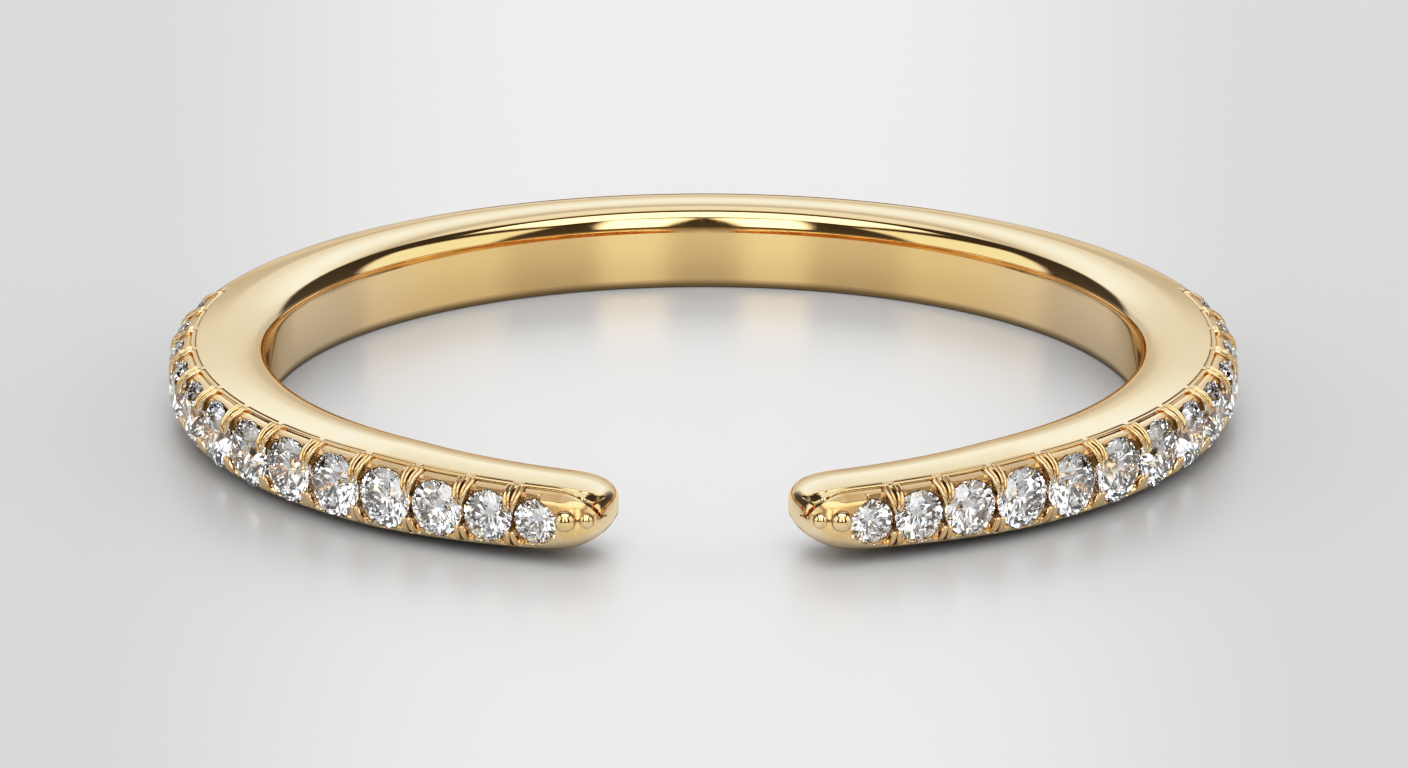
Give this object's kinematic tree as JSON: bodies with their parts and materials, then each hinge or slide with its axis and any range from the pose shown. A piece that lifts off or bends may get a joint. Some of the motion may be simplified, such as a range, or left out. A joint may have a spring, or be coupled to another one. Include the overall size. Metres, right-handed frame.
{
  "type": "open cuff ring",
  "caption": "Open finger ring: a domed yellow gold band with a gap between two rounded tips and a row of graduated clear brilliant-cut stones in cut-down paired prongs along each arm.",
  "frame": {"origin": "centre of the finger opening, at the band's middle height", "axes": "+Z through the finger opening, up as the ring lies on its side; -Y towards the gap between the tips; +X to the right seen from the gap"},
  "size_m": [0.0208, 0.0208, 0.0016],
  "materials": {
    "gold": "polished yellow gold",
    "stone": "cut and polished clear stone"
  },
  "bodies": {
    "root": {"band": "gold", "stone_left_01": "stone", "stone_left_02": "stone", "stone_left_03": "stone", "stone_left_04": "stone", "stone_left_05": "stone", "stone_left_06": "stone", "stone_left_07": "stone", "stone_left_08": "stone", "stone_left_09": "stone", "stone_left_10": "stone", "stone_left_11": "stone", "stone_left_12": "stone", "stone_left_13": "stone", "stone_right_01": "stone", "stone_right_02": "stone", "stone_right_03": "stone", "stone_right_04": "stone", "stone_right_05": "stone", "stone_right_06": "stone", "stone_right_07": "stone", "stone_right_08": "stone", "stone_right_09": "stone", "stone_right_10": "stone", "stone_right_11": "stone", "stone_right_12": "stone", "stone_right_13": "stone"}
  },
  "joints": []
}
